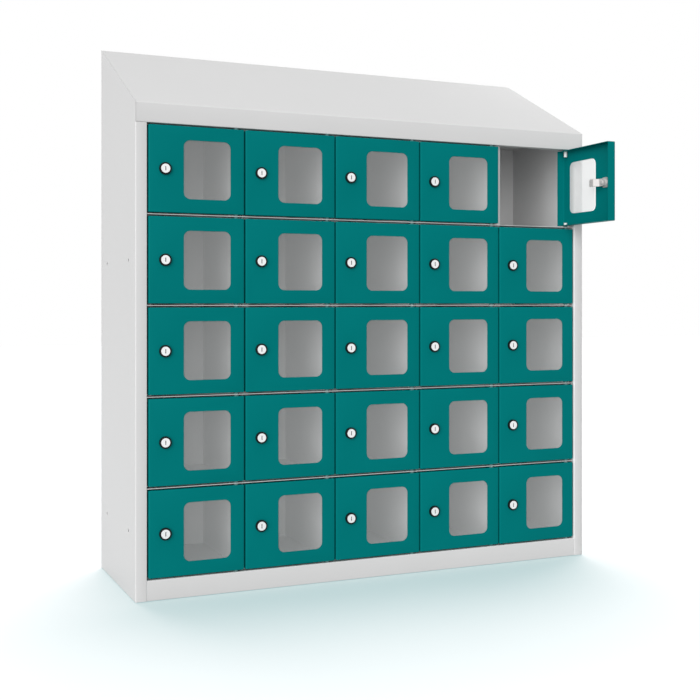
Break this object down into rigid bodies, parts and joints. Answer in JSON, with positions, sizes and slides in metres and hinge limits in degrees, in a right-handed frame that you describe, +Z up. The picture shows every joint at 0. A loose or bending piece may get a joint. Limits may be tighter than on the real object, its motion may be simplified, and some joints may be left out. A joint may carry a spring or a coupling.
{
  "type": "cell phone locker box",
  "caption": "Wall-hung steel cabinet with a sloped top and a field of small hinged, windowed doors, each with its own cam lock, for locking away phones.",
  "frame": {"origin": "centre of the four wall bolts, in the plane of the wall", "axes": "+X to the right seen from the front, +Y from the doors into the wall, +Z up"},
  "size_m": [0.95, 0.4531, 1.036],
  "materials": {
    "carcass_steel": "light grey powder coat, fine texture, satin",
    "door_paint": "teal powder coat, fine texture, satin",
    "zinc": "bright zinc plate",
    "galvanised_steel": "galvanised sheet, satin",
    "lock_collar": "black, semi gloss",
    "nylon": "white nylon, matt",
    "window_pane": "clear acrylic sheet"
  },
  "bodies": {
    "cabinet": {"left_side_panel": "carcass_steel", "right_side_panel": "carcass_steel", "back_panel": "carcass_steel", "base_panel": "carcass_steel", "ceiling_panel": "carcass_steel", "top_cover": "carcass_steel", "shelves": "carcass_steel", "dividers": "carcass_steel", "hinge_pins": "zinc", "wall_rails": "galvanised_steel"},
    "door_r1c1": {"door_r1c1": "door_paint"},
    "lock_r1c1": {"lock_r1c1": "zinc"},
    "door_r1c2": {"door_r1c2": "door_paint"},
    "lock_r1c2": {"lock_r1c2": "zinc"},
    "door_r1c3": {"door_r1c3": "door_paint"},
    "lock_r1c3": {"lock_r1c3": "zinc"},
    "door_r1c4": {"door_r1c4": "door_paint"},
    "lock_r1c4": {"lock_r1c4": "zinc"},
    "door_r1c5": {"door_r1c5": "door_paint"},
    "lock_r1c5": {"lock_r1c5": "zinc"},
    "door_r2c1": {"door_r2c1": "door_paint"},
    "lock_r2c1": {"lock_r2c1": "zinc"},
    "door_r2c2": {"door_r2c2": "door_paint"},
    "lock_r2c2": {"lock_r2c2": "zinc"},
    "door_r2c3": {"door_r2c3": "door_paint"},
    "lock_r2c3": {"lock_r2c3": "zinc"},
    "door_r2c4": {"door_r2c4": "door_paint"},
    "lock_r2c4": {"lock_r2c4": "zinc"},
    "door_r2c5": {"door_r2c5": "door_paint"},
    "lock_r2c5": {"lock_r2c5": "zinc"},
    "door_r3c1": {"door_r3c1": "door_paint"},
    "lock_r3c1": {"lock_r3c1": "zinc"},
    "door_r3c2": {"door_r3c2": "door_paint"},
    "lock_r3c2": {"lock_r3c2": "zinc"},
    "door_r3c3": {"door_r3c3": "door_paint"},
    "lock_r3c3": {"lock_r3c3": "zinc"},
    "door_r3c4": {"door_r3c4": "door_paint"},
    "lock_r3c4": {"lock_r3c4": "zinc"},
    "door_r3c5": {"door_r3c5": "door_paint"},
    "lock_r3c5": {"lock_r3c5": "zinc"},
    "door_r4c1": {"door_r4c1": "door_paint"},
    "lock_r4c1": {"lock_r4c1": "zinc"},
    "door_r4c2": {"door_r4c2": "door_paint"},
    "lock_r4c2": {"lock_r4c2": "zinc"},
    "door_r4c3": {"door_r4c3": "door_paint"},
    "lock_r4c3": {"lock_r4c3": "zinc"},
    "door_r4c4": {"door_r4c4": "door_paint"},
    "lock_r4c4": {"lock_r4c4": "zinc"},
    "door_r4c5": {"door_r4c5": "door_paint"},
    "lock_r4c5": {"lock_r4c5": "zinc"},
    "door_r5c1": {"door_r5c1": "door_paint"},
    "lock_r5c1": {"lock_r5c1": "zinc"},
    "door_r5c2": {"door_r5c2": "door_paint"},
    "lock_r5c2": {"lock_r5c2": "zinc"},
    "door_r5c3": {"door_r5c3": "door_paint"},
    "lock_r5c3": {"lock_r5c3": "zinc"},
    "door_r5c4": {"door_r5c4": "door_paint"},
    "lock_r5c4": {"lock_r5c4": "zinc"},
    "door_r5c5": {"door_r5c5": "door_paint"},
    "lock_r5c5": {"lock_r5c5": "zinc"}
  },
  "joints": [
    {"name": "door_r1c1_hinge", "type": "hinge", "parent": "cabinet", "child": "door_r1c1", "pos_m": [-0.287, -0.289, 0.326], "axis": [0, 0, 1], "range_deg": [0, 110]},
    {"name": "lock_r1c1_turn", "type": "hinge", "parent": "door_r1c1", "child": "lock_r1c1", "pos_m": [-0.4215, -0.295, 0.326], "axis": [0, -1, 0], "range_deg": [0, 180]},
    {"name": "door_r1c2_hinge", "type": "hinge", "parent": "cabinet", "child": "door_r1c2", "pos_m": [-0.106, -0.289, 0.326], "axis": [0, 0, 1], "range_deg": [0, 110]},
    {"name": "lock_r1c2_turn", "type": "hinge", "parent": "door_r1c2", "child": "lock_r1c2", "pos_m": [-0.2405, -0.295, 0.326], "axis": [0, -1, 0], "range_deg": [0, 180]},
    {"name": "door_r1c3_hinge", "type": "hinge", "parent": "cabinet", "child": "door_r1c3", "pos_m": [0.075, -0.289, 0.326], "axis": [0, 0, 1], "range_deg": [0, 110]},
    {"name": "lock_r1c3_turn", "type": "hinge", "parent": "door_r1c3", "child": "lock_r1c3", "pos_m": [-0.0595, -0.295, 0.326], "axis": [0, -1, 0], "range_deg": [0, 180]},
    {"name": "door_r1c4_hinge", "type": "hinge", "parent": "cabinet", "child": "door_r1c4", "pos_m": [0.256, -0.289, 0.326], "axis": [0, 0, 1], "range_deg": [0, 110]},
    {"name": "lock_r1c4_turn", "type": "hinge", "parent": "door_r1c4", "child": "lock_r1c4", "pos_m": [0.1215, -0.295, 0.326], "axis": [0, -1, 0], "range_deg": [0, 180]},
    {"name": "door_r1c5_hinge", "type": "hinge", "parent": "cabinet", "child": "door_r1c5", "pos_m": [0.437, -0.289, 0.326], "axis": [0, 0, 1], "range_deg": [-89, 21]},
    {"name": "lock_r1c5_turn", "type": "hinge", "parent": "door_r1c5", "child": "lock_r1c5", "pos_m": [0.44065, -0.42358, 0.326], "axis": [0.9998, -0.0175, 0], "range_deg": [0, 180]},
    {"name": "door_r2c1_hinge", "type": "hinge", "parent": "cabinet", "child": "door_r2c1", "pos_m": [-0.287, -0.289, 0.163], "axis": [0, 0, 1], "range_deg": [0, 110]},
    {"name": "lock_r2c1_turn", "type": "hinge", "parent": "door_r2c1", "child": "lock_r2c1", "pos_m": [-0.4215, -0.295, 0.163], "axis": [0, -1, 0], "range_deg": [0, 180]},
    {"name": "door_r2c2_hinge", "type": "hinge", "parent": "cabinet", "child": "door_r2c2", "pos_m": [-0.106, -0.289, 0.163], "axis": [0, 0, 1], "range_deg": [0, 110]},
    {"name": "lock_r2c2_turn", "type": "hinge", "parent": "door_r2c2", "child": "lock_r2c2", "pos_m": [-0.2405, -0.295, 0.163], "axis": [0, -1, 0], "range_deg": [0, 180]},
    {"name": "door_r2c3_hinge", "type": "hinge", "parent": "cabinet", "child": "door_r2c3", "pos_m": [0.075, -0.289, 0.163], "axis": [0, 0, 1], "range_deg": [0, 110]},
    {"name": "lock_r2c3_turn", "type": "hinge", "parent": "door_r2c3", "child": "lock_r2c3", "pos_m": [-0.0595, -0.295, 0.163], "axis": [0, -1, 0], "range_deg": [0, 180]},
    {"name": "door_r2c4_hinge", "type": "hinge", "parent": "cabinet", "child": "door_r2c4", "pos_m": [0.256, -0.289, 0.163], "axis": [0, 0, 1], "range_deg": [0, 110]},
    {"name": "lock_r2c4_turn", "type": "hinge", "parent": "door_r2c4", "child": "lock_r2c4", "pos_m": [0.1215, -0.295, 0.163], "axis": [0, -1, 0], "range_deg": [0, 180]},
    {"name": "door_r2c5_hinge", "type": "hinge", "parent": "cabinet", "child": "door_r2c5", "pos_m": [0.437, -0.289, 0.163], "axis": [0, 0, 1], "range_deg": [0, 110]},
    {"name": "lock_r2c5_turn", "type": "hinge", "parent": "door_r2c5", "child": "lock_r2c5", "pos_m": [0.3025, -0.295, 0.163], "axis": [0, -1, 0], "range_deg": [0, 180]},
    {"name": "door_r3c1_hinge", "type": "hinge", "parent": "cabinet", "child": "door_r3c1", "pos_m": [-0.287, -0.289, 0], "axis": [0, 0, 1], "range_deg": [0, 110]},
    {"name": "lock_r3c1_turn", "type": "hinge", "parent": "door_r3c1", "child": "lock_r3c1", "pos_m": [-0.4215, -0.295, 0], "axis": [0, -1, 0], "range_deg": [0, 180]},
    {"name": "door_r3c2_hinge", "type": "hinge", "parent": "cabinet", "child": "door_r3c2", "pos_m": [-0.106, -0.289, 0], "axis": [0, 0, 1], "range_deg": [0, 110]},
    {"name": "lock_r3c2_turn", "type": "hinge", "parent": "door_r3c2", "child": "lock_r3c2", "pos_m": [-0.2405, -0.295, 0], "axis": [0, -1, 0], "range_deg": [0, 180]},
    {"name": "door_r3c3_hinge", "type": "hinge", "parent": "cabinet", "child": "door_r3c3", "pos_m": [0.075, -0.289, 0], "axis": [0, 0, 1], "range_deg": [0, 110]},
    {"name": "lock_r3c3_turn", "type": "hinge", "parent": "door_r3c3", "child": "lock_r3c3", "pos_m": [-0.0595, -0.295, 0], "axis": [0, -1, 0], "range_deg": [0, 180]},
    {"name": "door_r3c4_hinge", "type": "hinge", "parent": "cabinet", "child": "door_r3c4", "pos_m": [0.256, -0.289, 0], "axis": [0, 0, 1], "range_deg": [0, 110]},
    {"name": "lock_r3c4_turn", "type": "hinge", "parent": "door_r3c4", "child": "lock_r3c4", "pos_m": [0.1215, -0.295, 0], "axis": [0, -1, 0], "range_deg": [0, 180]},
    {"name": "door_r3c5_hinge", "type": "hinge", "parent": "cabinet", "child": "door_r3c5", "pos_m": [0.437, -0.289, 0], "axis": [0, 0, 1], "range_deg": [0, 110]},
    {"name": "lock_r3c5_turn", "type": "hinge", "parent": "door_r3c5", "child": "lock_r3c5", "pos_m": [0.3025, -0.295, 0], "axis": [0, -1, 0], "range_deg": [0, 180]},
    {"name": "door_r4c1_hinge", "type": "hinge", "parent": "cabinet", "child": "door_r4c1", "pos_m": [-0.287, -0.289, -0.163], "axis": [0, 0, 1], "range_deg": [0, 110]},
    {"name": "lock_r4c1_turn", "type": "hinge", "parent": "door_r4c1", "child": "lock_r4c1", "pos_m": [-0.4215, -0.295, -0.163], "axis": [0, -1, 0], "range_deg": [0, 180]},
    {"name": "door_r4c2_hinge", "type": "hinge", "parent": "cabinet", "child": "door_r4c2", "pos_m": [-0.106, -0.289, -0.163], "axis": [0, 0, 1], "range_deg": [0, 110]},
    {"name": "lock_r4c2_turn", "type": "hinge", "parent": "door_r4c2", "child": "lock_r4c2", "pos_m": [-0.2405, -0.295, -0.163], "axis": [0, -1, 0], "range_deg": [0, 180]},
    {"name": "door_r4c3_hinge", "type": "hinge", "parent": "cabinet", "child": "door_r4c3", "pos_m": [0.075, -0.289, -0.163], "axis": [0, 0, 1], "range_deg": [0, 110]},
    {"name": "lock_r4c3_turn", "type": "hinge", "parent": "door_r4c3", "child": "lock_r4c3", "pos_m": [-0.0595, -0.295, -0.163], "axis": [0, -1, 0], "range_deg": [0, 180]},
    {"name": "door_r4c4_hinge", "type": "hinge", "parent": "cabinet", "child": "door_r4c4", "pos_m": [0.256, -0.289, -0.163], "axis": [0, 0, 1], "range_deg": [0, 110]},
    {"name": "lock_r4c4_turn", "type": "hinge", "parent": "door_r4c4", "child": "lock_r4c4", "pos_m": [0.1215, -0.295, -0.163], "axis": [0, -1, 0], "range_deg": [0, 180]},
    {"name": "door_r4c5_hinge", "type": "hinge", "parent": "cabinet", "child": "door_r4c5", "pos_m": [0.437, -0.289, -0.163], "axis": [0, 0, 1], "range_deg": [0, 110]},
    {"name": "lock_r4c5_turn", "type": "hinge", "parent": "door_r4c5", "child": "lock_r4c5", "pos_m": [0.3025, -0.295, -0.163], "axis": [0, -1, 0], "range_deg": [0, 180]},
    {"name": "door_r5c1_hinge", "type": "hinge", "parent": "cabinet", "child": "door_r5c1", "pos_m": [-0.287, -0.289, -0.326], "axis": [0, 0, 1], "range_deg": [0, 110]},
    {"name": "lock_r5c1_turn", "type": "hinge", "parent": "door_r5c1", "child": "lock_r5c1", "pos_m": [-0.4215, -0.295, -0.326], "axis": [0, -1, 0], "range_deg": [0, 180]},
    {"name": "door_r5c2_hinge", "type": "hinge", "parent": "cabinet", "child": "door_r5c2", "pos_m": [-0.106, -0.289, -0.326], "axis": [0, 0, 1], "range_deg": [0, 110]},
    {"name": "lock_r5c2_turn", "type": "hinge", "parent": "door_r5c2", "child": "lock_r5c2", "pos_m": [-0.2405, -0.295, -0.326], "axis": [0, -1, 0], "range_deg": [0, 180]},
    {"name": "door_r5c3_hinge", "type": "hinge", "parent": "cabinet", "child": "door_r5c3", "pos_m": [0.075, -0.289, -0.326], "axis": [0, 0, 1], "range_deg": [0, 110]},
    {"name": "lock_r5c3_turn", "type": "hinge", "parent": "door_r5c3", "child": "lock_r5c3", "pos_m": [-0.0595, -0.295, -0.326], "axis": [0, -1, 0], "range_deg": [0, 180]},
    {"name": "door_r5c4_hinge", "type": "hinge", "parent": "cabinet", "child": "door_r5c4", "pos_m": [0.256, -0.289, -0.326], "axis": [0, 0, 1], "range_deg": [0, 110]},
    {"name": "lock_r5c4_turn", "type": "hinge", "parent": "door_r5c4", "child": "lock_r5c4", "pos_m": [0.1215, -0.295, -0.326], "axis": [0, -1, 0], "range_deg": [0, 180]},
    {"name": "door_r5c5_hinge", "type": "hinge", "parent": "cabinet", "child": "door_r5c5", "pos_m": [0.437, -0.289, -0.326], "axis": [0, 0, 1], "range_deg": [0, 110]},
    {"name": "lock_r5c5_turn", "type": "hinge", "parent": "door_r5c5", "child": "lock_r5c5", "pos_m": [0.3025, -0.295, -0.326], "axis": [0, -1, 0], "range_deg": [0, 180]}
  ]
}
